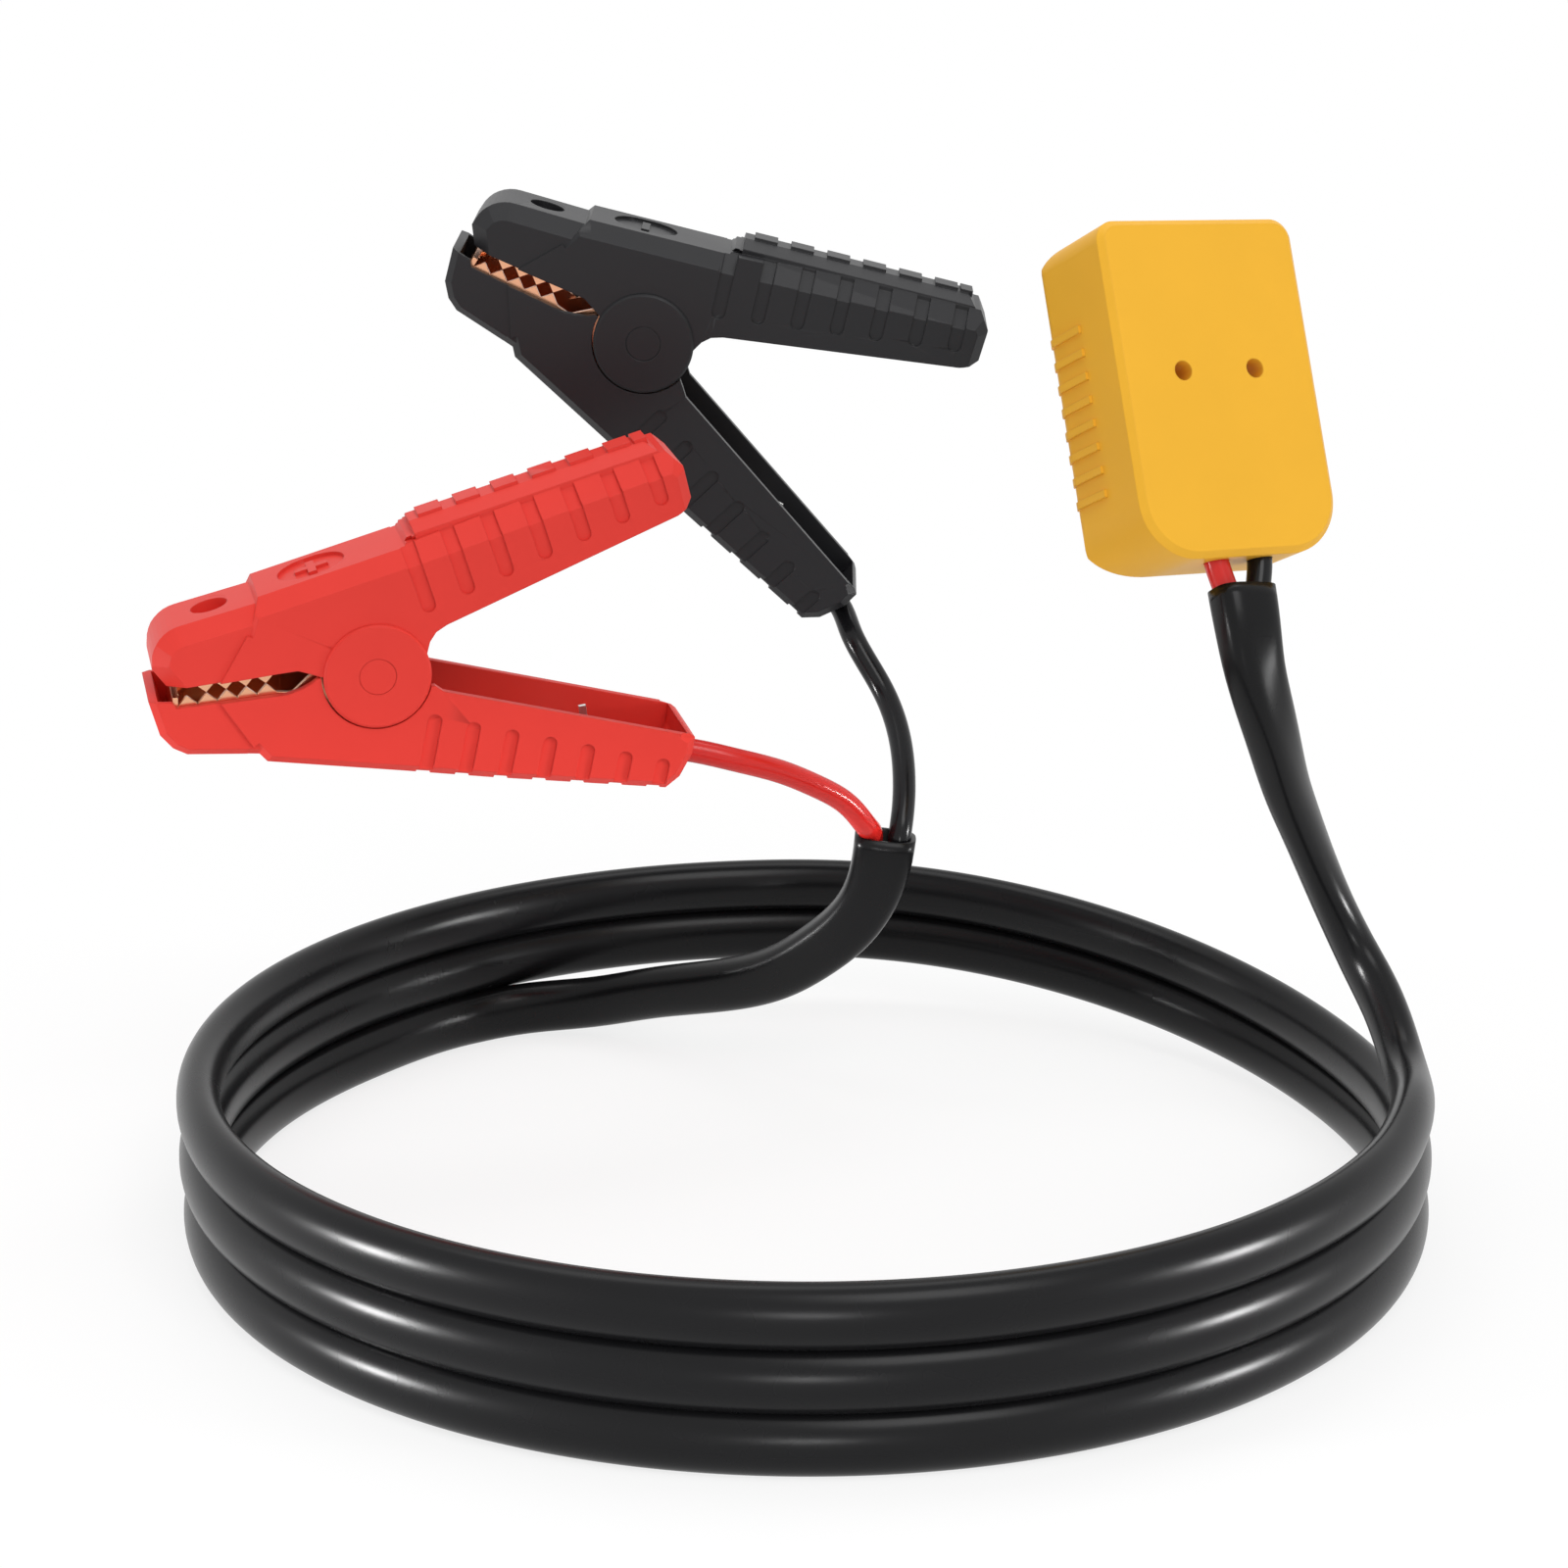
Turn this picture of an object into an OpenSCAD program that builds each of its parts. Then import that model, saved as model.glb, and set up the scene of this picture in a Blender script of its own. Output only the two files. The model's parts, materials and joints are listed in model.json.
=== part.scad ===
// Clamp lead with a slide-on battery adaptor pod: a twin lead in an oval sheath, wound in a
// coil that lies on the floor.  One end goes to the pod, the other parts into a red and a
// black wire, each with an insulated clamp.  Origin: on the floor at the coil's middle.

/* [Lead] */
// Radius of the coil, to the middle of the sheath
coil_r = 155; // [120:1:200]
// Number of turns that lie on one another
coil_turns = 3; // [2:1:4]
// Height of one turn in the stack
turn_pitch = 15; // [14:0.5:18]
// Width of the oval sheath, over both wires
sheath_w = 15.5; // [14:0.5:18]
// Thickness of the oval sheath
sheath_t = 11; // [9:0.5:13]
// Outer diameter of one insulated wire
wire_d = 6.4; // [5:0.1:7]

/* [Clamp covers] */
// Thickness of a clamp over both sides
clamp_t = 29; // [26:0.5:34]
// Wall of a clamp cover
cover_wall = 2.2; // [1.8:0.1:2.6]
// Bevel along the top of the upper cover
body_bevel = 4.2; // [3:0.1:5]
// Bevel along the back of the upper grip
grip_bevel = 5.2; // [4:0.1:6]
// Bevel along the bottom of the lower cover
base_bevel = 2.2; // [1.5:0.1:3]
// How far the nose stands back from the side of the body
nose_step = 0.7; // [0.4:0.1:1]
// Number of finger grooves along a grip
groove_n = 7; // [5:1:8]
// Width of a finger groove
groove_w = 3.7; // [3:0.1:4.5]
// Depth of a finger groove
groove_depth = 0.8; // [0.4:0.1:1.2]
// Height of the ridge along the back of the upper grip
ridge_h = 2.5; // [1.5:0.1:3]
// Number of pads on the ridge
pad_n = 6; // [4:1:7]
// How far the black clamp's lower grip hangs down, beyond the red one's, in degrees
black_drop = 5; // [0:0.2:6]
// Height of the red clamp's lower nose, in front of the teeth
red_hook = 1.9; // [-4:0.1:3]
// Height of the black clamp's lower nose, in front of the teeth
black_hook = -2.4; // [-4:0.1:3]

/* [Clamp pivot and jaws] */
// Diameter of the round pivot cap
cap_d = 27.5; // [24:0.5:30]
// How far the pivot cap stands out from the side
cap_rise = 1; // [0.6:0.1:1.6]
// Diameter of the pivot pin
pin_d = 8; // [6:0.5:9]
// Diameter of the pin's head, seen in the middle of the cap
pin_head_d = 9.4; // [9.2:0.1:12]
// Thickness of the copper-plated jaw plate
jaw_t = 1.4; // [1:0.1:1.6]
// Number of teeth on a jaw
tooth_n = 5; // [4:1:7]
// Gap between the tips of the teeth when the clamp is shut
bite_gap = 0.4; // [0.2:0.1:0.8]
// Diameter of the spring wire
spring_wire = 2; // [1.5:0.1:2.2]
// Number of turns of the spring
spring_turns = 6; // [4:1:7]

/* [Pod] */
// Width of the pod
pod_w = 58; // [54:1:70]
// Height of the pod
pod_h = 87; // [80:1:100]
// Depth of the pod, front to back
pod_d = 33; // [30:1:40]
// Corner radius of the face at the top
pod_top_r = 5.5; // [3:0.5:8]
// Corner radius of the face at the bottom
pod_bottom_r = 15; // [10:0.5:20]
// Radius of the rear corners, seen from the side
pod_rear_r = 13; // [10:0.5:14]
// Radius of the rear corners, seen from above
pod_side_r = 5; // [3:0.5:6]
// Radius of the edge round the face
pod_edge_r = 1.6; // [1:0.1:2.5]
// Diameter of the two mounting holes
pod_hole_d = 5; // [4:0.1:6]
// Distance between the two mounting holes
pod_hole_gap = 21.4; // [18:0.1:26]
// Number of grip ribs on each side of the pod
rib_n = 8; // [6:1:9]
// Width of the dock channel, which slides over the battery's rails
dock_w = 44; // [40:0.5:48]
// Thickness of the pod's front wall, in front of the dock
front_wall = 13; // [11:0.5:15]

/* [Hidden] */

$fn = 48;
fit = 0.15;             // running clearance between parts of a clamp
cut = 40;               // how far a cutting tool reaches past the part
arm_gap = 0.45;         // between the round of the upper cover and the hollow of the lower

// Colours
red = "#e03c3a";
black = "#2b2c2e";
yellow = "#f2b134";
copper = "#c77b4a";
steel = "silver";
brass = "#c9a24a";
sheath_black = "#26272a";

// Where the clamps and the pod are, and how they are turned
RED_AT = [-111.9, 23.1, 139.8];
RED_TURN = [13.9, 4.5, 2.2];     // yaw, roll, spin
BLACK_AT = [-43.6, 112.4, 211.4];
BLACK_TURN = [-0.8, 4.8, 32.9];
POD_AT = [104.5, 20, 211];
POD_TURN = [27.5, -23.5, 2.5];

module placed(at, turn)
    translate(at) rotate([0, 0, turn[0]]) rotate([turn[1], 0, 0]) rotate([0, turn[2], 0])
        children();

function turned(a, p) = [p[0] * cos(a) + p[1] * sin(a), p[1] * cos(a) - p[0] * sin(a)];
function yaw_pt(a, p) = [p[0] * cos(a) - p[1] * sin(a), p[0] * sin(a) + p[1] * cos(a), p[2]];
function roll_pt(a, p) = [p[0], p[1] * cos(a) - p[2] * sin(a), p[1] * sin(a) + p[2] * cos(a)];
function spin_pt(a, p) = [p[0] * cos(a) + p[2] * sin(a), p[1], p[2] * cos(a) - p[0] * sin(a)];
// A point of a clamp or of the pod, in the frame of the whole part
function seen(at, turn, p) = at + yaw_pt(turn[0], roll_pt(turn[1], spin_pt(turn[2], p)));

// ---- Outlines: closed lists of points, counter-clockwise, as a side view -----------------

function unit(v) = v / norm(v);
// Normal of the edge from p to q that points into a counter-clockwise outline
function inward(p, q) = let (u = unit(q - p)) [-u[1], u[0]];
// Corner between two edges that move in by d1 and d2
function corner(p, n1, n2, d1, d2) =
    let (det = n1[0] * n2[1] - n1[1] * n2[0])
    abs(det) < 0.02 ? p + n2 * d2
                    : p + [d1 * n2[1] - d2 * n1[1], n1[0] * d2 - n2[0] * d1] / det;
function points(rows) = [for (r = rows) [r[0], r[1]]];
function column(rows, k) = [for (r = rows) r[k]];
function arc(c, r, a0, a1, n) = [for (i = [0:n]) let (a = a0 + (a1 - a0) * i / n)
    c + r * [cos(a), sin(a)]];

// Plate with a 45 degree bevel of its own on each edge; t is its thickness
module bevelled(outline, bevels, t) difference() {
    plate(outline, t);
    for (i = [0:len(outline) - 1]) if (bevels[i] > 0)
        bevel_cut(outline[i], outline[(i + 1) % len(outline)], bevels[i], t);
}
module bevel_cut(p, q, c, t) {
    over = 2.5;
    run = q - p;
    translate([p[0], 0, p[1]]) rotate([0, -atan2(run[1], run[0]), 0])
        for (s = [-1, 1]) translate([-over, 0, 0]) rotate([90, 0, 90])
            linear_extrude(norm(run) + 2 * over)
                polygon([[s * (t / 2 - c - 1), -1], [s * (t / 2 + 1), c + 1], [s * (t / 2 + 1), -1]]);
}
module plate(outline, t, at = 0)
    translate([0, at + t / 2, 0]) rotate([90, 0, 0]) linear_extrude(t) polygon(outline);
module across(d, t, x = 0, z = 0, at = 0)
    translate([x, at + t / 2, z]) rotate([90, 0, 0]) cylinder(h = t, d = d);

// ---- Clamp: x runs from the nose to the grips, y across, z from the lower arm up ----------

cap_r = cap_d / 2;
side = clamp_t / 2;
inside = side - cover_wall;             // half width between the cover walls
GRIP_ANGLE = 18.9;
GRIP_START = [7.6, 34.6];

// Lips of the two covers, front and back
LIP_U = [[-52.5, -3.1], [-24.5, 1.1]];
LIP_L = [[-50.3, -7.8], [-27.4, -5.1]];

// Rows are x, z and the bevel of the edge that starts there
UPPER_NOSE = concat(
    [[LIP_U[0][0], LIP_U[0][1], 0], [-33, -0.1, 0], [-26, 17, 0], [-30.2, 18.3, 1]],
    [for (p = arc([-46.5, 3.4], 9.6, 106, 172, 7)) [p[0], p[1], 1]],
    [[-56.1, 1.4, 1]]);
UPPER_BODY = [
    [-39.4, -1.3, 0], [LIP_U[1][0], LIP_U[1][1], 0], [-20, 1.7, 0], [-17.3, 0.9, 0],
    [-14.4, 0, 0], [-10, -1, 0], [11, -3, 0], [12.65, 6.3, 0], [13.2, 8.8, 0],
    [14.7, 11.3, 0], [17.4, 13.2, 0], [76, 41.2, 0], [78.2, 42.8, 0.1], [79.8, 45.4, 0.5],
    [77.4, 53.6, 0.6], [73, 57, 0], [7.6, 34.6, 0], [7, 32.7, 0.81],
    [-29.9, 20.1, 0.2], [-31.7, 13.3, 0]];

// Line that runs d inside a chain of points that has its solid on the left
function inner_line(pts, d) =
    let (n = len(pts))
    [for (i = [0:n - 1])
        i == 0 ? pts[0] + d * inward(pts[0], pts[1])
        : i == n - 1 ? pts[i] + d * inward(pts[i - 1], pts[i])
        : corner(pts[i], inward(pts[i - 1], pts[i]), inward(pts[i], pts[i + 1]), d, d)];

// ---- Upper arm ----------------------------------------------------------------------------

UPPER_TOP = concat(
    [[78.2, 42.8], [79.8, 45.4], [77.4, 53.6], [73, 57], [10, 33.8], [-30.6, 18.2]],
    arc([-46.5, 3.4], 9.6, 106, 172, 4), [[-56.1, 1.4], [-52.5, -3.1]]);
// Bevels of the space inside, which keep the cover's walls even
UPPER_SPACE = [0, 0, 2.4, 3.9, 2.8, 2.8, 2.8, 2.8, 2.8, 2.8, 2.8, 2.8, 0, 0, 0, 0, 0, 0];
ROOF_ANGLE = 16.5;
BACK_ANGLE = 18.9;
module on_roof(x = -41.2, z = 15) translate([x, 0, z]) rotate([0, -ROOF_ANGLE, 0]) children();
module on_back(x = -15.6, z = 25) translate([x, 0, z]) rotate([0, -BACK_ANGLE, 0]) children();
module on_grip_back(s) translate([GRIP_START[0], 0, GRIP_START[1]])
    rotate([0, -GRIP_ANGLE, 0]) translate([s, 0, 0]) children();

// Finger groove with a round foot, which runs up from there and on over a bevel of width c
module groove(x, z, angle, len, c = 0)
    translate([x, 0, z]) rotate([0, -angle, 0])
        for (s = [-1, 1]) {
            translate([0, s * side, 0]) rotate([90, 0, 0])
                cylinder(h = 2 * groove_depth, d = groove_w, center = true);
            translate([0, s * side - groove_depth, -groove_w / 2])
                cube([len, 2 * groove_depth, groove_w]);
        }
GRIP_BEVEL = [[7.6, 34.6], [73, 59.2]];
// What a groove takes from the bevel of the grip, s along it
module bevel_groove(x, z, angle) intersection() {
    bevel_cut(GRIP_BEVEL[0], GRIP_BEVEL[1], grip_bevel + groove_depth * sqrt(2), clamp_t);
    translate([x, 0, z]) rotate([0, -angle, 0]) translate([0, -side - 1, -groove_w / 2])
        cube([30, clamp_t + 2, groove_w]);
}
// Ridge along the back of the upper grip, with its pads
module grip_ridge() on_grip_back(0) {
    difference() {
        translate([2, 0, 0]) rotate([90, 0, 90]) linear_extrude(66)
            polygon([[-9.2, -1.2], [-9.2, 0.5], [-3.8, ridge_h], [3.8, ridge_h], [9.2, 0.5],
                     [9.2, -1.2]]);
        translate([68, 0, ridge_h]) rotate([0, 45, 0]) cube([4, 30, 4], center = true);
    }
    for (i = [0:pad_n - 1]) translate([4.6 + 10.2 * i, -3.6, ridge_h - 1]) cube([6.4, 7.2, 1.8]);
    translate([62.8, -3.6, ridge_h - 1]) cube([3.4, 7.2, 1.8]);
}

// Oblong hole through a cover, for the jaw's rivet
module rivet_hole(depth)
    translate([0, 0, -depth]) {
        for (s = [-1, 1]) translate([0, s * 2.2, 0]) cylinder(h = 2 * depth, d = 9.7);
        translate([-4.85, -2.2, 0]) cube([9.7, 4.4, 2 * depth]);
    }

// Raised mark in an oval hollow: a plus or a minus
module mark_bars(plus) {
    translate([-1.1, -4.4, -1.2]) cube([2.2, 8.8, 1.1]);
    if (plus) translate([-4.4, -1.1, -1.2]) cube([8.8, 2.2, 1.1]);
}
module mark_hollow(plus) difference() {
    translate([0, 0, -0.9]) {
        for (s = [-1, 1]) translate([s * 1.15, 0, 0]) cylinder(h = 9, d = 15.4);
        translate([-1.15, -7.7, 0]) cube([2.3, 15.4, 9]);
    }
    mark_bars(plus);
}

module upper_cover(plus) difference() {
    union() {
        bevelled(points(UPPER_NOSE), body_bevel * column(UPPER_NOSE, 2),
                 clamp_t - 2 * nose_step);
        difference() {
            bevelled(points(UPPER_BODY), grip_bevel * column(UPPER_BODY, 2), clamp_t);
            bevel_cut(GRIP_BEVEL[0], GRIP_BEVEL[1], grip_bevel, clamp_t);
            for (i = [0:groove_n - 1]) let (f = 58.9 * i / (groove_n - 1))
                bevel_groove(12.6 + f, 18.5 + f * 0.4635, 109.5);
        }
        across(cap_d, clamp_t);
        grip_ridge();
    }
    bevelled(concat(inner_line(UPPER_TOP, cover_wall),
                    [[-49.5, -12], [-16, -20], [16, -20], [17, 8], [74, 34]]),
             UPPER_SPACE, 2 * inside);
    across(pin_d + 0.1, cut);
    for (i = [0:groove_n - 1]) let (f = 58.9 * i / (groove_n - 1))
        groove(12.6 + f, 18.5 + f * 0.4635, 109.5, 30);
    on_roof() rivet_hole(6);
    on_back() mark_hollow(plus);
}

// Teeth along the jaw: points from front to back, dir is up (1) or down (-1)
BITE = [[-50.2, -5.25], [-25.4, -1.85]];
function bite(s) = BITE[0] + s * (BITE[1] - BITE[0]);
BITE_UP = [-0.136, 0.99];
function teeth(dir) = [for (i = [0:2 * tooth_n])
    bite(i / (2 * tooth_n)) + dir * BITE_UP * (bite_gap / 2 + (i % 2 == 1 ? 0 : 2.4))];

module side_plates(outline, at, t) for (s = [-1, 1]) plate(outline, t, s * at);

EAR_R = 10.5;
UPPER_JAW = concat(teeth(1),
    [[-20, 2.6], [-10, -2], [8, -2], [16, 14], [24, 19.5], [33, 35.2], [6, 26],
     [-14, 19.4], [-30, 13], [-45, 8.4], [-50.6, 5], [-51, 1.6], [-49.8, -1.4]]);
upper_ear = inside - jaw_t / 2;
module upper_jaw() difference() {
    union() {
        side_plates(UPPER_JAW, upper_ear, jaw_t);
        for (s = [-1, 1]) across(2 * EAR_R, jaw_t, at = s * upper_ear);
        on_roof() translate([-8.5, 0.5 - inside, -7.6]) cube([19, 2 * inside - 1, jaw_t]);
        on_grip_back(0) translate([2, 0.5 - inside, -8.6]) cube([22, 2 * inside - 1, jaw_t]);
        translate([-49.9, 0.5 - inside, -4.9]) cube([jaw_t, 2 * inside - 1, 6.5]);
    }
    across(pin_d + 0.1, cut);
    on_roof() translate([0, 0, -9]) cylinder(h = 6, d = 4.2);
    bevel_cut([-56, 4.8], [-46, -7.7], 3.1, 2 * inside);
}
// Rivet: head up, seated on its plate, with its shank through the hole and top above it
module rivet(top) {
    rotate_extrude() polygon([[0, -1.8], [2, -1.8], [2, 0], [4.2, 0], [4, 0.7], [2.6, 1.2],
                              [1.2, 1.4], [1.2, top - 0.4], [0.8, top], [0, top]]);
    translate([0, 0, -2.6]) cylinder(h = 0.9, d = 5.2);
}
module upper_rivet() on_roof() translate([0, 0, -7.6 + jaw_t]) rivet(3.8);

module pivot_cap(s) difference() {
    union() {
        across(cap_d, cap_rise - 0.6, at = s * (side + (cap_rise - 0.6) / 2));
        translate([0, s * (side + cap_rise - 0.6), 0]) rotate([-90 * s, 0, 0])
            cylinder(h = 0.6, d1 = cap_d, d2 = cap_d - 1.2);
    }
    across(pin_head_d + 0.1, cut);
}
module pivot_pin() {
    across(pin_d, 2 * side + 0.2);
    for (s = [-1, 1]) across(pin_head_d, 0.8, at = s * (side + 0.5));
}

// ---- Lower arm: its grip may hang lower than the outline says, and be a little longer -----

function stretch(drop) = 1 + 0.016 * drop;
function hung(p, drop) = p[0] < -20 ? p : turned(drop, p * stretch(drop));
function hung_all(pts, drop) = [for (p = pts) hung(p, drop)];

LOWER_FRONT = [[-57.3, -6], [-54.3, -15.4], [-51.1, -18.9], [-47.5, -20.6], [-29.9, -20.9]];
LOWER_BACK = [[-27.4, -22.9], [8, -26.5], [30, -28.9], [76.6, -33.2], [80.2, -30.2],
              [83.4, -23.8], [83.9, -19.4]];
LIP_BACK = [[-15, -0.4], [-16.7, -1.8], [-19, -3.2], [-22.8, -4.6], [-27.4, -5.1]];
function lower_nose(hook) = concat(LOWER_FRONT,
    [[-26, -21.2], [-30, -5.5], [-50.3, -7.8], [-52.6, -5],
     [-54.4 - 0.5 * (hook + 2.4), hook - 0.3], [-56.2 - 0.33 * (hook + 2.4), hook]]);
function lower_body(drop) = concat([[-29.6, -20.6]], hung_all(LOWER_BACK, drop),
    hung_all([[82.6, -18.4], [17, -4.6], [14.8, -3]], drop),
    arc([0, 0], cap_r + arm_gap, -13, -178, 20), LIP_BACK, [[-39.4, -6.6]]);
// Along the wire in the lower grip, which lies on the floor of the cover
WIRE_DIP = 5.5;
function wire_z(x) = -23.2 - (x - 44) * tan(WIRE_DIP);
module along_wire(drop, x)
    rotate([0, drop, 0]) translate([x * stretch(drop), 0, wire_z(x) * stretch(drop)])
        rotate([0, 90 + WIRE_DIP, 0]) children();

module lower_cover(drop, hook) difference() {
    union() {
        bevelled(lower_nose(hook), concat([for (i = [0:4]) 1.9], [for (i = [0:5]) 0]),
                 clamp_t - 2 * nose_step);
        bevelled(lower_body(drop), concat([for (i = [0:7]) base_bevel], [for (i = [0:29]) 0]),
                 clamp_t);
    }
    plate(concat(
        inner_line(concat(LOWER_FRONT, hung_all(LOWER_BACK, drop)), cover_wall),
        [hung([81, 8], drop), [20, 12], [-40, 12], [-52.2, 6], [-52.2, -5.2]]), 2 * inside);
    for (i = [0:groove_n - 1]) let (f = i / (groove_n - 1), k = 1.02 * stretch(drop)) {
        rotate([0, drop, 0]) groove((14.6 + 59 * f) * k, (-12.4 - 13.4 * f) * k, -99, 30);
        // Notch where the groove meets the bottom
        rotate([0, drop, 0]) translate([(12.2 + 59.6 * f) * k, 0, (-25.8 - 5.8 * f) * k])
            rotate([0, 5.4, 0]) translate([-groove_w / 2, -side, -5]) cube([groove_w, clamp_t, 5]);
    }
    along_wire(drop, 74) cylinder(h = 14, d = wire_d + 0.3);
    translate([-42, 0, -20.7]) mirror([0, 0, 1]) rivet_hole(6);
}

LOWER_TOOTH = concat(
    [[-51.6, -13.4], [-48.8, -17.2], [-17, -17.6], [-17, -5]],
    [for (i = [2 * tooth_n:-1:0]) teeth(-1)[i]]);
lower_ear = inside - jaw_t * 1.5 - fit;
module lower_jaw(drop) difference() {
    union() {
        side_plates(LOWER_TOOTH, upper_ear - fit, jaw_t);
        side_plates([[-22, -17.6], [10, -20], [8, 8], [-8, 8], [-22, -6]], lower_ear, jaw_t);
        for (s = [-1, 1]) {
            across(2 * EAR_R, jaw_t, at = s * lower_ear);
            plate([[-22, -17.6], [-17, -17.6], [-17, -6], [-22, -6]], jaw_t + 0.4,
                  s * (lower_ear + jaw_t / 2));
        }
        translate([-46.4, -inside + fit, -18.3]) cube([25.4, 2 * (inside - fit), jaw_t]);
        plate(hung_all([[-22, -18.4], [9, -22], [26, -25.2], [40, -27.2], [62, -29.3],
                        [62, -28.2], [40, -26.08], [26, -23.8], [9, -20.6], [-22, -17]], drop),
              2 * (lower_ear + jaw_t / 2));
        // Plate across the front, under the teeth
        translate([-51.2, fit - inside, -13]) cube([jaw_t, 2 * (inside - fit), 7.5]);
    }
    across(pin_d + 0.02, cut);
    translate([-42, 0, -20]) cylinder(h = 6, d = 4.2);
}
module lower_rivet() translate([-42, 0, -18.4]) mirror([0, 0, 1]) rivet(2);

module torsion_spring(drop) {
    pitch = spring_wire - 0.1;
    half = (spring_turns - 1) * pitch / 2;
    r = pin_d / 2 + spring_wire / 2 + 0.3;
    for (i = [0:spring_turns - 1]) translate([0, i * pitch - half, 0]) rotate([90, 0, 0])
        rotate_extrude() translate([r, 0]) circle(d = spring_wire, $fn = 24);
    // Legs, to the underside of the upper grip and to the floor of the lower one
    translate([0, half, r]) rotate([0, 90 - 24, 0]) cylinder(h = 30, d = spring_wire, $fn = 24);
    translate([0, -half, -r]) rotate([0, 90 + 20, 0]) cylinder(h = 32, d = spring_wire, $fn = 24);
}
// Ferrule that crimps the wire, on the tang of the lower jaw
module crimp_ferrule(drop) along_wire(drop, 44) {
    difference() {
        cylinder(h = 14, d = 9);
        translate([0, 0, -1]) cylinder(h = 16, d = wire_d);
        translate([3.2 * stretch(drop) + 0.05, -9, -1]) cube([9, 18, 16]);
    }
    // Ear that the crimp leaves standing
    translate([-3.6, 0.4, 12]) rotate([0, -16, 0]) translate([-6.4, 0, 0]) cube([6.8, 1.1, 1.9]);
}

// ---- Cords --------------------------------------------------------------------------------

// Tube of width w and thickness t along rows of x, y, z and the direction of its thin side
module tube(rows, w, t, sides = 10) {
    n = len(rows);
    p = [for (r = rows) [r[0], r[1], r[2]]];
    way = [for (i = [0:n - 1]) unit(p[min(i + 1, n - 1)] - p[max(i - 1, 0)])];
    polyhedron(
        points = [for (i = [0:n - 1])
            let (thin0 = [rows[i][3], rows[i][4], rows[i][5]],
                 thin = unit(thin0 - way[i] * (thin0 * way[i])), wide = cross(way[i], thin))
            for (k = [0:sides - 1])
                let (a = 360 * (k + 0.5) / sides)
                p[i] + wide * (t / 2 * cos(a) + sign(cos(a)) * (w - t) / 2)
                     + thin * (t / 2 * sin(a))],
        faces = concat(
            [[for (k = [0:sides - 1]) k]],
            [[for (k = [sides - 1:-1:0]) (n - 1) * sides + k]],
            [for (i = [0:n - 2]) for (k = [0:sides - 1]) let (j = (k + 1) % sides)
                [i * sides + j, i * sides + k, (i + 1) * sides + k]],
            [for (i = [0:n - 2]) for (k = [0:sides - 1]) let (j = (k + 1) % sides)
                [i * sides + j, (i + 1) * sides + k, (i + 1) * sides + j]]));
}
function round_rows(pts, thin) = [for (q = pts) [q[0], q[1], q[2], thin[0], thin[1], thin[2]]];

POD_LEAD = [
    [109.5, 6.9, 161.7, 0.41, -0.77, 0.49], [111.1, 2, 150.9, 0.46, -0.84, 0.29],
    [113.6, 1.2, 139.2, 0.61, -0.79, 0.09], [117.2, 4, 128.1, 0.76, -0.65, 0.01],
    [121.5, 10, 115, 0.86, -0.5, 0.04], [125.3, 15.2, 104.9, 0.9, -0.41, 0.15],
    [129.6, 20.4, 94.9, 0.92, -0.31, 0.25], [134, 24.9, 84.7, 0.92, -0.18, 0.34],
    [138.8, 27.7, 74.1, 0.91, 0, 0.42], [145.5, 26.6, 60.6, 0.89, 0.27, 0.37],
    [150.3, 20.3, 51.7, 0.94, 0.3, 0.16], [153.4, 11.2, 44.1, 0.98, 0.18, 0.08],
    [154.9, 1.1, 37.9, 1, 0.05, 0.02]];
CLAMP_LEAD = [
    [-99, 116.9, 7.8, -0.59, 0.81, 0], [-88.7, 122.6, 8.1, -0.35, 0.94, 0.02],
    [-74.4, 124.5, 9.3, 0.07, 0.99, 0.08], [-62.6, 122.2, 11.3, 0.25, 0.95, 0.19],
    [-51.7, 118, 14.4, 0.33, 0.91, 0.27], [-38.9, 111.4, 18.6, 0.41, 0.88, 0.24],
    [-28.9, 105.6, 21.7, 0.46, 0.86, 0.22], [-19.2, 99.4, 25.1, 0.47, 0.85, 0.24],
    [-10, 93, 29.6, 0.44, 0.85, 0.29], [0.5, 85.5, 37.3, 0.36, 0.88, 0.31],
    [8.2, 80.1, 44.7, 0.3, 0.9, 0.3], [15.1, 75.5, 53.4, 0.19, 0.94, 0.27],
    [20.7, 71.4, 66.6, 0.05, 0.98, 0.19], [22.6, 70, 78.4, 0.01, 1, 0.07]];

module lead_coil() rotate_extrude($fn = 96) for (i = [0:coil_turns - 1])
    translate([coil_r, sheath_w / 2 + turn_pitch * i]) {
        for (s = [-1, 1]) translate([0, s * (sheath_w - sheath_t) / 2]) circle(d = sheath_t);
        square([sheath_t, sheath_w - sheath_t], center = true);
    }

// ---- Pod: x across, y from its face to its back, z up; origin in the middle of its face ----

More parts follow.
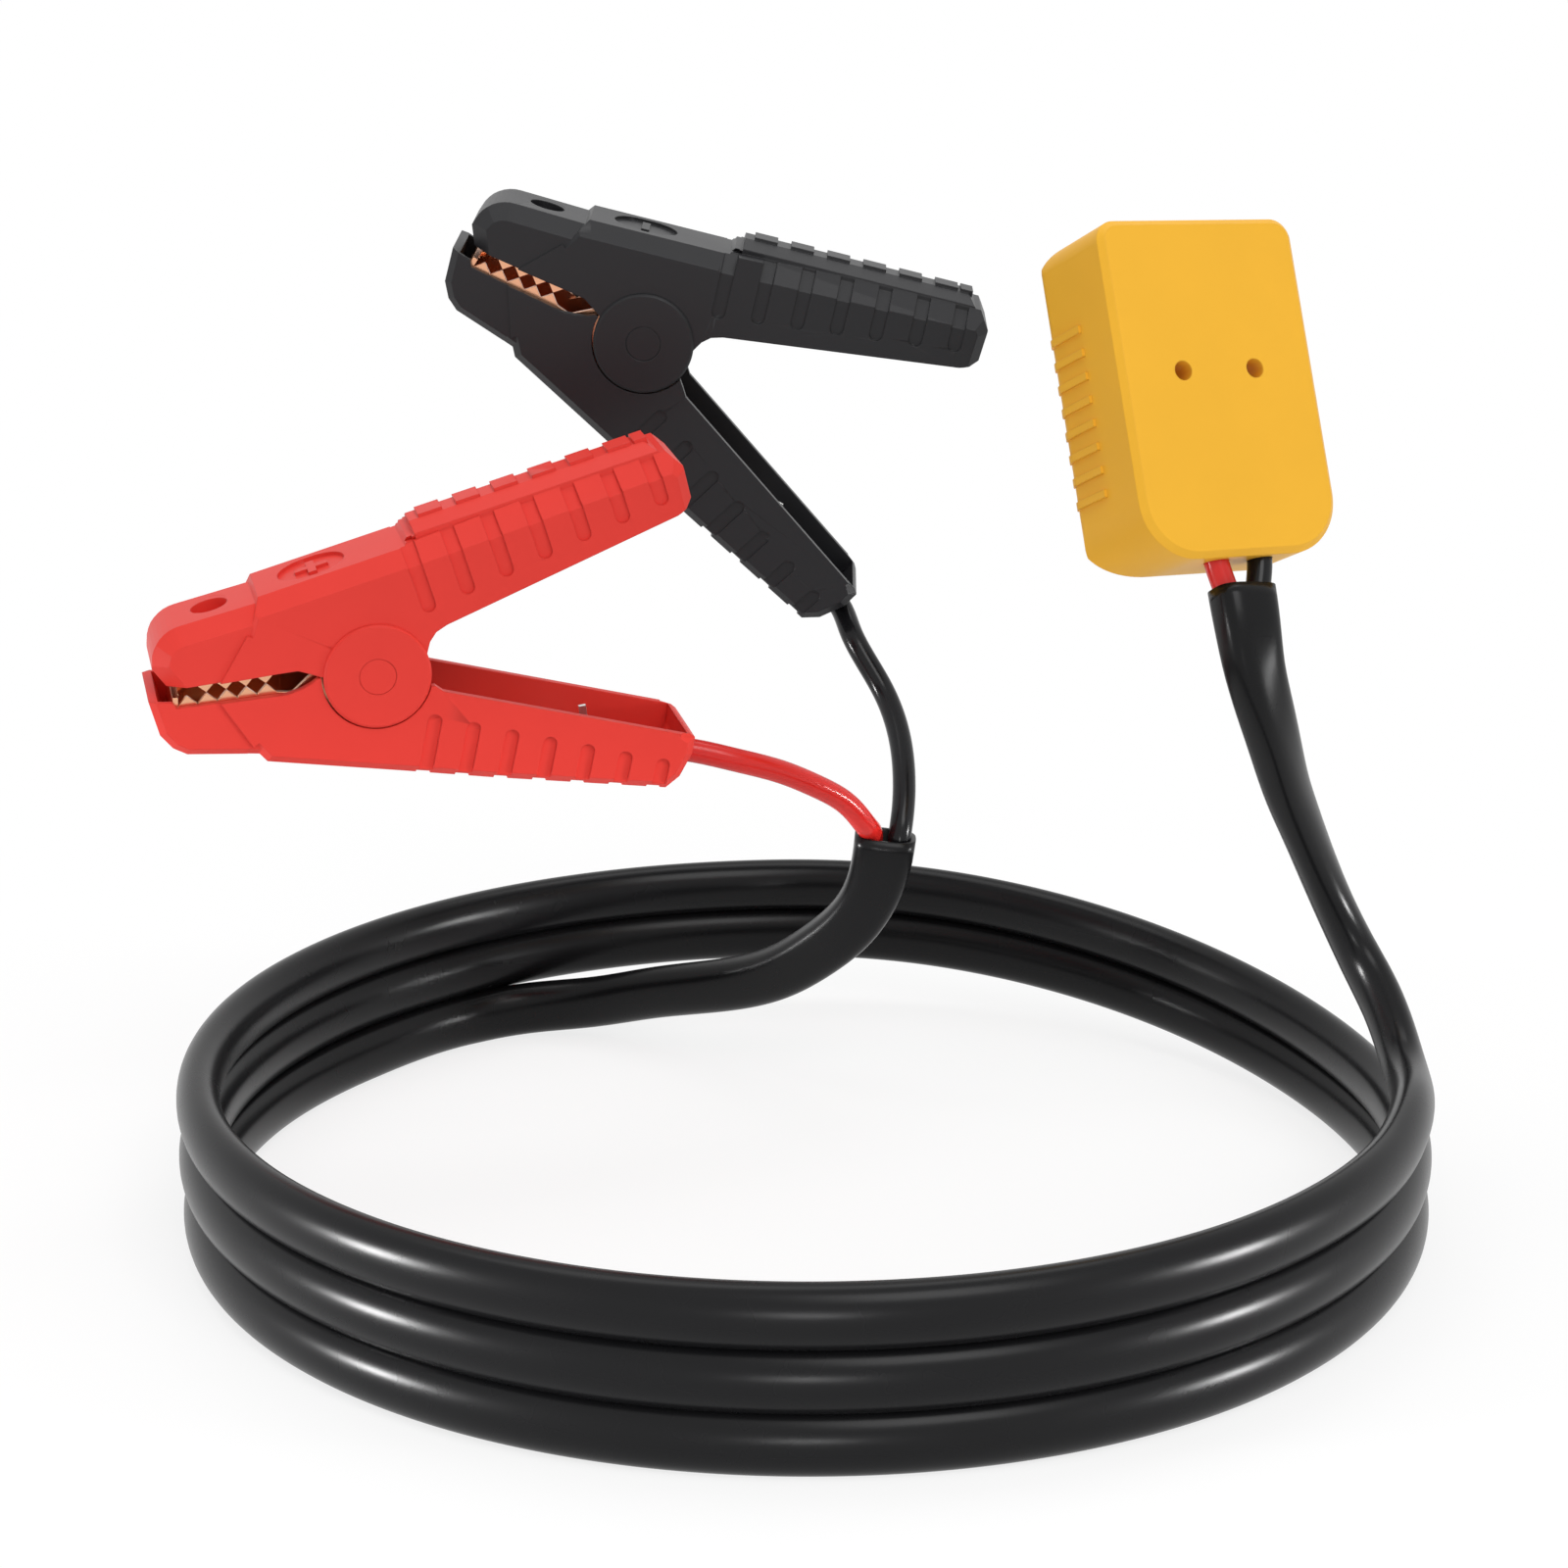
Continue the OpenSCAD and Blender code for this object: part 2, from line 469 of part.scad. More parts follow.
module pod_corners() {
    // Middle and radius of each round corner of the face
    for (s = [-1, 1]) {
        translate([s * (pod_w / 2 - pod_top_r), 0, pod_h / 2 - pod_top_r])
            rotate([-90, 0, 0]) pod_corner(pod_top_r);
        translate([s * (pod_w / 2 - pod_bottom_r), 0, pod_bottom_r - pod_h / 2])
            rotate([-90, 0, 0]) pod_corner(pod_bottom_r);
    }
}
module pod_corner(r) {
    cylinder(h = pod_edge_r, r1 = r - pod_edge_r, r2 = r);
    translate([0, 0, pod_edge_r]) cylinder(h = pod_d - pod_edge_r, r = r);
}
function bevel_box(half, d, e) = [[e - half, 0], [half - e, 0], [half, e], [half, d], [-half, d],
                                  [-half, e]];
module pod_block() {
    span = pod_h - pod_top_r - pod_bottom_r;
    translate([0, 0, pod_bottom_r - pod_h / 2]) linear_extrude(span)
        polygon(bevel_box(pod_w / 2, pod_d, pod_edge_r));
    for (r = [pod_top_r, pod_bottom_r])
        intersection() {
            rotate([90, 0, 90]) translate([0, 0, r - pod_w / 2]) linear_extrude(pod_w - 2 * r)
                polygon([for (q = bevel_box(pod_h / 2, pod_d, pod_edge_r)) [q[1], q[0]]]);
            translate([-pod_w, -1, r == pod_top_r ? -1 : -pod_h])
                cube([2 * pod_w, pod_d + 2, pod_h + 1]);
        }
    pod_corners();
}
// What the rounding of the rear edges leaves, seen from the side and from above
module rear_round(grow = 0) intersection() {
    union() {
        translate([-pod_w, -1, -pod_h]) cube([2 * pod_w, pod_d + 1 - pod_rear_r, 2 * pod_h]);
        translate([-pod_w, 0, pod_rear_r - pod_h / 2])
            cube([2 * pod_w, pod_d, pod_h - 2 * pod_rear_r]);
        for (s = [-1, 1]) translate([-pod_w, pod_d - pod_rear_r, s * (pod_h / 2 - pod_rear_r)])
            rotate([0, 90, 0]) cylinder(h = 2 * pod_w, r = pod_rear_r, $fn = 96);
    }
    union() {
        translate([-pod_w, -1, -pod_h]) cube([2 * pod_w, pod_d + 1 - pod_side_r - grow, 2 * pod_h]);
        translate([pod_side_r - pod_w / 2, 0, -pod_h])
            cube([pod_w - 2 * pod_side_r, pod_d, 2 * pod_h]);
        for (s = [-1, 1]) translate([s * (pod_w / 2 - pod_side_r), pod_d - pod_side_r - grow, -pod_h])
            cylinder(h = 2 * pod_h, r = pod_side_r + grow);
    }
}
rib_rise = 0.9;
rib_pitch = 6.06;
front_skin = 3;
plate_t = 3;                       // the dock plate
dock_bottom = -31;                 // where the dock channel ends, below
POD_WIRE_X = [-5.5, 7.5];
WIRE_Y = 7;

module pod_shell() difference() {
    union() {
        intersection() {
            pod_block();
            rear_round();
        }
        intersection() {
            for (i = [0:rib_n - 1], s = [-1, 1])
                translate([s * (pod_w / 2) - rib_rise, 15, -1.5 + (i - (rib_n - 1) / 2) * rib_pitch - 1])
                    cube([2 * rib_rise, pod_d, 2]);
            rear_round(rib_rise);
        }
    }
    // Space for the wires, behind the face
    translate([-dock_w / 2, front_skin, dock_bottom - 5])
        cube([dock_w, front_wall - front_skin - plate_t + 0.01, pod_h / 2 - dock_bottom]);
    // Dock channel, open behind and at the top
    translate([-dock_w / 2, front_wall - plate_t, dock_bottom]) cube([dock_w, cut, pod_h]);
    for (s = [-1, 1]) translate([s * pod_hole_gap / 2, -1, 4.2]) rotate([-90, 0, 0])
        cylinder(h = cut, d = pod_hole_d);
    for (x = POD_WIRE_X) translate([x, WIRE_Y, -pod_h / 2 - 1])
        cylinder(h = 16, d = wire_d + 0.2);
}
module pod_bosses() difference() {
    union() {
        for (s = [-1, 1]) translate([s * pod_hole_gap / 2, front_skin, 4.2]) rotate([-90, 0, 0])
            cylinder(h = front_wall - front_skin - plate_t, d = 10);
        dock_screw_spots() translate([0, front_skin, 0]) rotate([-90, 0, 0])
            cylinder(h = front_wall - front_skin - plate_t, d = 6);
    }
    for (s = [-1, 1]) translate([s * pod_hole_gap / 2, -1, 4.2]) rotate([-90, 0, 0])
        cylinder(h = cut, d = pod_hole_d);
    dock_screw_spots() translate([0, front_skin + 1, 0]) rotate([-90, 0, 0])
        cylinder(h = cut, d = 2.6);
}
module dock_screw_spots() for (x = [-16, 16], z = [-24, 30]) translate([x, 0, z]) children();

rail_t = 2.4;
lip_w = 3.2;
module dock_plate() difference() {
    union() {
        translate([fit - dock_w / 2, front_wall - plate_t, dock_bottom + fit])
            cube([dock_w - 2 * fit, plate_t, pod_h / 2 - dock_bottom - 1]);
        for (s = [-1, 1]) {
            translate([s * (dock_w / 2 - fit - rail_t / 2) - rail_t / 2, front_wall, dock_bottom + fit])
                cube([rail_t, pod_d - front_wall - 3, pod_h / 2 - dock_bottom - 6]);
            translate([s * (dock_w / 2 - fit - lip_w / 2 - 1) - lip_w / 2 - 1, pod_d - 6.4,
                       dock_bottom + fit])
                cube([lip_w + 2, 3.4, pod_h / 2 - dock_bottom - 6]);
        }
    }
    for (s = [-1, 1]) translate([s * pod_hole_gap / 2, 0, 4.2]) rotate([-90, 0, 0])
        cylinder(h = cut, d = pod_hole_d + 4);
    dock_screw_spots() rotate([-90, 0, 0]) cylinder(h = cut, d = 3.2);
}
BLADE_X = 9;
BLADE = [0.9, 7.5, 15];
module terminal_block() difference() {
    translate([-12.5, front_wall, dock_bottom + 3]) cube([25, 9, 12]);
    for (s = [-1, 1]) translate([s * BLADE_X - 1.1, front_wall - 1, dock_bottom + 5])
        cube([2.2, 12, 20]);
    translate([-4.5, front_wall + 3, dock_bottom]) cube([9, 12, 20]);
}
module blade(s) translate([s * BLADE_X - BLADE[0] / 2, front_wall, dock_bottom + 5.2]) {
    cube([BLADE[0], BLADE[1], 18]);
    translate([-0.5, 0, 0]) cube([BLADE[0] + 1, 1.2, 8]);
}
module dock_screws() dock_screw_spots() {
    translate([0, front_skin + 1.3, 0]) rotate([-90, 0, 0])
        cylinder(h = front_wall - front_skin - 1.3, d = 2.5);
    translate([0, front_wall, 0]) rotate([-90, 0, 0]) difference() {
        cylinder(h = 1.8, d1 = 5.4, d2 = 4.6);
        for (a = [0, 90]) rotate(a) translate([-1.5, -0.35, 1]) cube([3, 0.7, 2]);
    }
}

// Wires: red and black, from the clamps and the pod into the ends of the sheath
function clamp_wire(at, turn, drop, rest) =
    let (k = stretch(drop),
         inside_pts = [for (x = [46, 60, 72, 85]) turned(drop, [x * k, wire_z(x) * k])])
    concat([for (q = inside_pts) seen(at, turn, [q[0], 0, q[1]])], rest);
RED_WIRE = [[-18.3, 47, 106.2], [-6.4, 52, 101.6], [3.9, 57.5, 95.7], [12.7, 63, 88],
            [18.1, 68, 80.5], [19.1, 70, 74.4]];
BLACK_WIRE = [[13.7, 110, 126.1], [21.9, 102, 112.7], [26.5, 92, 102.5], [27.9, 81, 93.1],
              [27.7, 73, 83.8], [26.1, 70, 74.4]];
function pod_wire(x) = concat(
    [for (z = [-34, -40, -46]) seen(POD_AT, POD_TURN, [x, WIRE_Y, z])],
    [seen([109.9, 6.9, 161], [27.5, -23.5, 2.5], [x < 0 ? -3.4 : 3.6, 0, 1.5]),
     seen([110.2, 6.6, 158], [27.5, -23.5, 2.5], [x < 0 ? -3.4 : 3.6, 0, 0])]);

// ---- The parts ----------------------------------------------------------------------------

module red_upper_cover() color(red) placed(RED_AT, RED_TURN) upper_cover(true);
module red_lower_cover() color(red) placed(RED_AT, RED_TURN) lower_cover(0, red_hook);
module red_upper_jaw() color(copper) placed(RED_AT, RED_TURN) upper_jaw();
module red_lower_jaw() color(copper) placed(RED_AT, RED_TURN) lower_jaw(0);
module red_pivot_pin() color(red) placed(RED_AT, RED_TURN) pivot_pin();
module red_pivot_cap_front() color(red) placed(RED_AT, RED_TURN) pivot_cap(-1);
module red_pivot_cap_back() color(red) placed(RED_AT, RED_TURN) pivot_cap(1);
module red_torsion_spring() color(steel) placed(RED_AT, RED_TURN) torsion_spring(0);
module red_upper_rivet() color(steel) placed(RED_AT, RED_TURN) upper_rivet();
module red_lower_rivet() color(steel) placed(RED_AT, RED_TURN) lower_rivet();
module red_crimp_ferrule() color(steel) placed(RED_AT, RED_TURN) crimp_ferrule(0);
module red_clamp_wire() color(red)
    tube(round_rows(clamp_wire(RED_AT, RED_TURN, 0, RED_WIRE), [0, 1, 0]), wire_d, wire_d, 8);
module black_upper_cover() color(black) placed(BLACK_AT, BLACK_TURN) upper_cover(false);
module black_lower_cover() color(black) placed(BLACK_AT, BLACK_TURN) lower_cover(black_drop, black_hook);
module black_upper_jaw() color(copper) placed(BLACK_AT, BLACK_TURN) upper_jaw();
module black_lower_jaw() color(copper) placed(BLACK_AT, BLACK_TURN) lower_jaw(black_drop);
module black_pivot_pin() color(black) placed(BLACK_AT, BLACK_TURN) pivot_pin();
module black_pivot_cap_front() color(black) placed(BLACK_AT, BLACK_TURN) pivot_cap(-1);
module black_pivot_cap_back() color(black) placed(BLACK_AT, BLACK_TURN) pivot_cap(1);
module black_torsion_spring() color(steel) placed(BLACK_AT, BLACK_TURN)
    torsion_spring(black_drop);
module black_upper_rivet() color(steel) placed(BLACK_AT, BLACK_TURN) upper_rivet();
module black_lower_rivet() color(steel) placed(BLACK_AT, BLACK_TURN) lower_rivet();
module black_crimp_ferrule() color(steel) placed(BLACK_AT, BLACK_TURN)
    crimp_ferrule(black_drop);
module black_clamp_wire() color(black)
    tube(round_rows(clamp_wire(BLACK_AT, BLACK_TURN, black_drop, BLACK_WIRE), [0, 1, 0]),
         wire_d, wire_d, 8);
module yellow_pod_shell() color(yellow) placed(POD_AT, POD_TURN) {
    union() {
        pod_shell();
        pod_bosses();
    }
}
module pod_dock_plate() color(black) placed(POD_AT, POD_TURN) dock_plate();
module pod_terminal_block() color(black) placed(POD_AT, POD_TURN) terminal_block();
module positive_blade() color(brass) placed(POD_AT, POD_TURN) blade(-1);
module negative_blade() color(brass) placed(POD_AT, POD_TURN) blade(1);
module pod_dock_screws() color(steel) placed(POD_AT, POD_TURN) dock_screws();
module red_pod_wire() color(red)
    tube(round_rows(pod_wire(POD_WIRE_X[0]), [0, 1, 0]), wire_d, wire_d, 8);
module black_pod_wire() color(black)
    tube(round_rows(pod_wire(POD_WIRE_X[1]), [0, 1, 0]), wire_d, wire_d, 8);
module pod_lead() color(sheath_black) tube(POD_LEAD, sheath_w, sheath_t);
module black_lead_coil() color(sheath_black) lead_coil();
module clamp_lead() color(sheath_black) tube(CLAMP_LEAD, sheath_w, sheath_t);

red_upper_cover();
red_lower_cover();
red_upper_jaw();
red_lower_jaw();
red_pivot_pin();
red_pivot_cap_front();
red_pivot_cap_back();
red_torsion_spring();
red_upper_rivet();
red_lower_rivet();
red_crimp_ferrule();
red_clamp_wire();
black_upper_cover();
black_lower_cover();
black_upper_jaw();
black_lower_jaw();
black_pivot_pin();
black_pivot_cap_front();
black_pivot_cap_back();
black_torsion_spring();
black_upper_rivet();
black_lower_rivet();
black_crimp_ferrule();
black_clamp_wire();
yellow_pod_shell();  // pod_shell
pod_dock_plate();  // dock_plate
pod_terminal_block();  // terminal_block
positive_blade();
negative_blade();
pod_dock_screws();  // dock_screws
red_pod_wire();
black_pod_wire();
pod_lead();
black_lead_coil();  // lead_coil
clamp_lead();
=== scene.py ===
"""Twin-lead clamp set: an oval sheathed lead wound in a coil on the floor, with a slide-on battery
adaptor pod at one end and a red and a black insulated clamp at the other.  Lengths are written in
millimetres and become metres when a mesh is made.  Origin on the floor at the coil's middle."""
import json
import math
import bmesh
import bpy
import numpy as np
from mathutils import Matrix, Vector

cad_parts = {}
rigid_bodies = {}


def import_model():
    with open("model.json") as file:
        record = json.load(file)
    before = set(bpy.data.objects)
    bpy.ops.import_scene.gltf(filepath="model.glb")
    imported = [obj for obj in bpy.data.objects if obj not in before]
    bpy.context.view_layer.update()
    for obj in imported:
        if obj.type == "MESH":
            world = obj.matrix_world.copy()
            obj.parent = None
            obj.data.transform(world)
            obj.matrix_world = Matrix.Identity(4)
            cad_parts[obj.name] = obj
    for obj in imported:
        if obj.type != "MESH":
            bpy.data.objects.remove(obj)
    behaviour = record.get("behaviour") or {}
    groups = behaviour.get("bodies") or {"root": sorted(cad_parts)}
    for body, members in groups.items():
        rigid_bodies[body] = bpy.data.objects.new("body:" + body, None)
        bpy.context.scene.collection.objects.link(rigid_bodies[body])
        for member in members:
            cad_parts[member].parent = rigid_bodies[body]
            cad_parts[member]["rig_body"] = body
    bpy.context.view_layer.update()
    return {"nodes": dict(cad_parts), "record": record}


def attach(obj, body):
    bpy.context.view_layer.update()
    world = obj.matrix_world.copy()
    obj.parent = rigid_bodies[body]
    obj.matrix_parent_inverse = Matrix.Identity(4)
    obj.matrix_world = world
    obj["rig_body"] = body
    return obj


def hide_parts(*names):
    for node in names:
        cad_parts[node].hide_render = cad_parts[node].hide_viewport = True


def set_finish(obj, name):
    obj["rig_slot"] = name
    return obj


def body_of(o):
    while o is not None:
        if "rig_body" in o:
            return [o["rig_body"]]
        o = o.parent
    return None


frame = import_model()
ROOT = "lead_and_lower_arms"
MM = 0.001


# ---- Turning and placing ------------------------------------------------------------------

def turning(yaw, roll, spin):
    """Rotation about Z by yaw, then about the turned X by roll, then about the turned Y by spin."""
    y, r, s = np.radians([yaw, roll, spin])
    rz = np.array([[np.cos(y), -np.sin(y), 0], [np.sin(y), np.cos(y), 0], [0, 0, 1]])
    rx = np.array([[1, 0, 0], [0, np.cos(r), -np.sin(r)], [0, np.sin(r), np.cos(r)]])
    ry = np.array([[np.cos(s), 0, np.sin(s)], [0, 1, 0], [-np.sin(s), 0, np.cos(s)]])
    return rz @ rx @ ry


RED_AT, RED_TURN = np.array([-111.9, 23.1, 139.8]), turning(13.9, 4.5, 2.2)
BLACK_AT, BLACK_TURN = np.array([-43.6, 112.4, 211.4]), turning(-0.8, 4.8, 32.9)
POD_AT, POD_TURN = np.array([104.5, 20, 211]), turning(27.5, -23.5, 2.5)


def seen(at, turn, p):
    """Points of a clamp or of the pod, in the frame of the whole part, in millimetres."""
    return at + np.asarray(p, float) @ turn.T


# ---- Camera -------------------------------------------------------------------------------

CAMERA_AT = (-5.4, -825.4, 345.4)
CAMERA_DOWN = 15.74                  # degrees below the horizon
FOCAL_PX, FRAME_PX = 3458.0, 1600    # focal length in pixels of a frame so many wide
SENSOR = 36
camera = bpy.data.objects.new("camera", bpy.data.cameras.new("camera"))
camera.location = [c * MM for c in CAMERA_AT]
camera.rotation_euler = (math.radians(90 - CAMERA_DOWN), 0, 0)
camera.data.sensor_width = SENSOR
camera.data.lens = SENSOR * FOCAL_PX / FRAME_PX
camera.data.clip_start, camera.data.clip_end = 0.05, 50
bpy.context.scene.collection.objects.link(camera)
bpy.context.scene.camera = camera


# ---- Meshes -------------------------------------------------------------------------------

def mesh_piece(name, points, quads, uv):
    """New smooth piece from points in millimetres (n, 3), faces (m, 4) and one uv pair a point."""
    mesh = bpy.data.meshes.new(name)
    mesh.from_pydata((points * MM).tolist(), [], quads.tolist())
    mesh.update()
    mesh.polygons.foreach_set("use_smooth", np.ones(len(mesh.polygons), bool))
    loops = np.empty(len(mesh.loops), np.int32)
    mesh.loops.foreach_get("vertex_index", loops)
    layer = mesh.uv_layers.new(name="along")
    layer.data.foreach_set("uv", uv[loops].ravel())
    piece = bpy.data.objects.new(name, mesh)
    bpy.context.scene.collection.objects.link(piece)
    return piece


def tube_quads(rows, around):
    """Faces of a tube of rows rings, each of around points."""
    i = np.arange(rows - 1)[:, None]
    j = np.arange(around)[None, :]
    k = (j + 1) % around
    quads = np.stack([i * around + j, i * around + k, (i + 1) * around + k,
                      (i + 1) * around + j], -1)
    return quads.reshape(-1, 4)


def unit(v):
    """Vectors of length 1 in the directions of v."""
    return v / np.linalg.norm(v, axis=-1, keepdims=True)


def ease(x):
    """0 up to 0, 1 from 1 on, and a smooth rise between."""
    x = np.clip(x, 0, 1)
    return x * x * (3 - 2 * x)


def run_of(path):
    """How far along a path each of its points lies."""
    return np.concatenate([[0], np.cumsum(np.linalg.norm(np.diff(path, axis=0), axis=1))])


def line_length(path):
    """Length of a path."""
    return float(np.linalg.norm(np.diff(path, axis=0), axis=1).sum())


def across(path, thin):
    """Unit vectors along a path and, square to it, on its thin side and on its wide side."""
    way = unit(np.gradient(path, axis=0))
    thin = unit(thin - way * np.sum(thin * way, axis=1, keepdims=True))
    return way, thin, np.cross(way, thin)


def spline(points, step):
    """Samples, about every step, of the natural cubic spline through points, by chord length."""
    v = np.asarray(points, float)
    t = run_of(v)
    h = np.diff(t)
    n = len(t)
    a = np.zeros((n, n))
    b = np.zeros((n, v.shape[1]))
    a[0, 0] = a[-1, -1] = 1
    inner = np.arange(1, n - 1)
    a[inner, inner - 1] = h[:-1]
    a[inner, inner] = 2 * (h[:-1] + h[1:])
    a[inner, inner + 1] = h[1:]
    slope = np.diff(v, axis=0) / h[:, None]
    b[inner] = 6 * np.diff(slope, axis=0)
    m = np.linalg.solve(a, b)
    s = np.linspace(0, t[-1], int(t[-1] / step) + 1)
    k = np.clip(np.searchsorted(t, s, side="right") - 1, 0, n - 2)
    u, w, hk = (s - t[k])[:, None], (t[k + 1] - s)[:, None], h[k][:, None]
    return (m[k] * w ** 3 + m[k + 1] * u ** 3) / (6 * hk) \
        + (v[k] / hk - m[k] * hk / 6) * w + (v[k + 1] / hk - m[k + 1] * hk / 6) * u


def swept(name, path, thin, half_wide, half_thin, fullness, around, mouth, size=1):
    """Tube along path.  Its section is the curve |x/a|^n + |y/b|^n = 1, with a across the thin
    direction, b along it and n the fullness.  The fullness and the size it is drawn at have one
    value, or one for each path point.  mouth has the (in by, scale) steps that turn the tube's
    edge in and close it, at both ends."""
    way, thin, wide = across(path, thin)
    a = 2 * np.pi * np.arange(around) / around
    power = 2 / (fullness * np.ones(len(path)))
    size = size * np.ones(len(path))

    def ring(k, centre, grow):
        x = half_wide * np.sign(np.cos(a)) * np.abs(np.cos(a)) ** power[k]
        y = half_thin * np.sign(np.sin(a)) * np.abs(np.sin(a)) ** power[k]
        return centre + grow * (x[:, None] * wide[k] + y[:, None] * thin[k])

    run = run_of(path)
    first = [ring(0, path[0] + way[0] * depth, grow) for depth, grow in mouth]
    last = [ring(-1, path[-1] - way[-1] * depth, grow) for depth, grow in mouth]
    rings = first[::-1] + [ring(k, path[k], size[k]) for k in range(len(path))] + last
    depths = np.array([depth for depth, _ in mouth])
    runs = np.concatenate([depths[::-1], run, run[-1] - depths])
    uv = np.stack([np.repeat(runs, around), np.tile(np.arange(around) / around, len(rings))], 1)
    return mesh_piece(name, np.concatenate(rings), tube_quads(len(rings), around), uv)


# ---- The lead: one sheath from the pod's end to the split, and four wires ------------------

COIL_R = 155.0
TURN_Z = (37.5, 22.5, 7.75)
COIL_STEP, COIL_END = 12.0, 940          # degrees, clockwise from +X
DROP_AT, DROP_SPAN = (270, 630), 80      # where a turn starts to drop to the next, and for how long
TUCK_AT, TUCK_SPAN, TUCK = 850, 90, 2.5  # the same for the last turn's end, and how far in it lies
SHEATH_W, SHEATH_T = 15.5, 11.0
ROUTE_STEP, SHEATH_AROUND = 3, 40
OVAL, SQUARER, FLARE = 2.05, 1.1, 0.09   # fullness; what the ends add to it, and to the size
WIRE_D = 6.4
POD_LEAD = [[109.5, 6.9, 161.7], [110.8, 2.6, 152.9], [112.6, 1, 143.1], [115.7, 2.5, 132.6],
            [119.5, 7, 121.2], [123.6, 13, 109.1], [128.8, 19.5, 96.7], [134.2, 25, 84.3],
            [140.8, 28, 69.9], [147.3, 25, 57.2], [152.2, 15.5, 47.6]]
CLAMP_LEAD = [[-80.5, 124.5, 8.7], [-62, 122, 11.4], [-43.3, 113.8, 17.2],
              [-22.4, 101.5, 23.9], [-7.8, 91.5, 30.9], [4.7, 82.5, 41.2], [13.5, 76.5, 51],
              [19.1, 72.7, 61.4], [21.7, 70.6, 71.3], [22.6, 70, 78.4]]


def coil_rows():
    """Points of the wound part.  Each turn lies a turn's pitch below the last, and the last turn
    ends a little inside."""
    angle = np.arange(COIL_STEP, COIL_END, COIL_STEP)
    first, second = [ease((angle - a) / DROP_SPAN) for a in DROP_AT]
    z = TURN_Z[0] + (TURN_Z[1] - TURN_Z[0]) * first + (TURN_Z[2] - TURN_Z[1]) * second
    r = COIL_R - TUCK * np.clip((angle - TUCK_AT) / TUCK_SPAN, 0, 1) ** 2
    c, s = np.cos(np.radians(-angle)), np.sin(np.radians(-angle))
    return np.stack([r * c, r * s, z], 1)


def sheath_route():
    """Middle of the sheath and its thin side.  The thin side faces away from the ring's middle in
    the coil, and turns evenly to the pod's depth at one end and to +Y at the other."""
    start = [COIL_R, 0, TURN_Z[0]]
    path = spline(np.concatenate([POD_LEAD, [start], coil_rows(), CLAMP_LEAD]), ROUTE_STEP)
    path[:, 2] = np.maximum(path[:, 2], TURN_Z[2])
    run = run_of(path)
    out = unit(path * [1, 1, 0])
    to_pod = ease(1 - run / line_length(POD_LEAD))[:, None]
    to_clamps = ease((run - run[-1]) / line_length(CLAMP_LEAD) + 1)[:, None]
    thin = out * (1 - to_pod - to_clamps) - POD_TURN[:, 1] * to_pod \
        + np.array([0, 1, 0]) * to_clamps
    return path, thin, run


route, route_thin, route_run = sheath_route()


def near_ends(first, last):
    """1 at the sheath's ends, easing to 0 over the first and over the last so many millimetres."""
    return ease(1 - route_run / first) + ease(1 - (route_run[-1] - route_run) / last)


SHEATH_MOUTH = [(0.0, 0.97), (0.0, 0.9), (0.3, 0.86), (14.0, 0.84), (14.0, 0.001)]
sheath = swept("sheath", route, route_thin, SHEATH_W / 2, SHEATH_T / 2,
               OVAL + SQUARER * near_ends(90, 160), SHEATH_AROUND, SHEATH_MOUTH,
               1 + FLARE * near_ends(26, 26))
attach(sheath, ROOT)
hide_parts("pod_lead", "lead_coil", "clamp_lead")
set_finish(sheath, "sheath_black")

MOUTH_DEPTHS = np.array([3, 8, 13, 18])
ROUTE_WIDE = across(route, route_thin)[2]


def in_mouth(end, side):
    """Points of a wire inside the sheath's mouth, side millimetres off its middle, going in."""
    k = np.searchsorted(route_run, MOUTH_DEPTHS if end == 0 else route_run[-1] - MOUTH_DEPTHS)
    return route[k] + side * ROUTE_WIDE[k]


WIRE_STEP, WIRE_AROUND, ROUND = 1.6, 28, 2.0
WIRE_END = [(0.0, 0.9), (0.0, 0.001)]
NOT_ALONG = (0.3, 1.0, 0.2)              # a direction that no wire runs in


def wire(name, points, colour, node):
    """Round wire along a spline through points, into the sheath's mouth."""
    path = spline(points, WIRE_STEP)
    piece = swept(name, path, np.tile(NOT_ALONG, (len(path), 1)), WIRE_D / 2, WIRE_D / 2, ROUND,
                  WIRE_AROUND, WIRE_END)
    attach(piece, ROOT)
    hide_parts(node)
    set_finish(piece, colour)
    return piece, path


FERRULE_X, FERRULE_Z = 44, -23.2         # its middle, in clamp coordinates
WIRE_DIP = math.tan(math.radians(5.5))
IN_GRIP = (46, 58, 72, 84)               # along the grip, from the ferrule to past its end
STRETCH = 0.016                          # how much longer a grip is, for each degree it hangs


def clamp_wire_points(at, turn, drop, rest):
    """From the ferrule in the grip, which hangs by drop degrees, out of its end and along rest."""
    k, a = 1 + STRETCH * drop, math.radians(drop)
    line = [(x * k, (FERRULE_Z - (x - FERRULE_X) * WIRE_DIP) * k) for x in IN_GRIP]
    own = [[x * math.cos(a) + z * math.sin(a), 0, z * math.cos(a) - x * math.sin(a)]
           for x, z in line]
    return np.concatenate([seen(at, turn, own), rest])


RED_REST = [[-18.3, 47, 106.2], [-6.4, 52, 101.6], [3.9, 57.5, 95.7], [12.6, 63, 88.6],
            [17.8, 67.7, 81]]
BLACK_REST = [[13.7, 110, 126.1], [21.9, 102, 112.7], [26.5, 92, 102.5], [27.9, 81.5, 93.1],
              [27.4, 73.3, 84]]
RED_DROP, BLACK_DROP = 0, 5
MOUTH_SIDE, POD_SIDE = 3.9, 4.3          # a wire's place off the sheath's middle, in each mouth


def pod_wire_points(x, side):
    """From inside the pod straight down into the sheath's upper mouth."""
    inner = seen(POD_AT, POD_TURN, [[x, 7, z] for z in (-27.5, -33, -38, -43.5)])
    return np.concatenate([inner, in_mouth(0, side)])


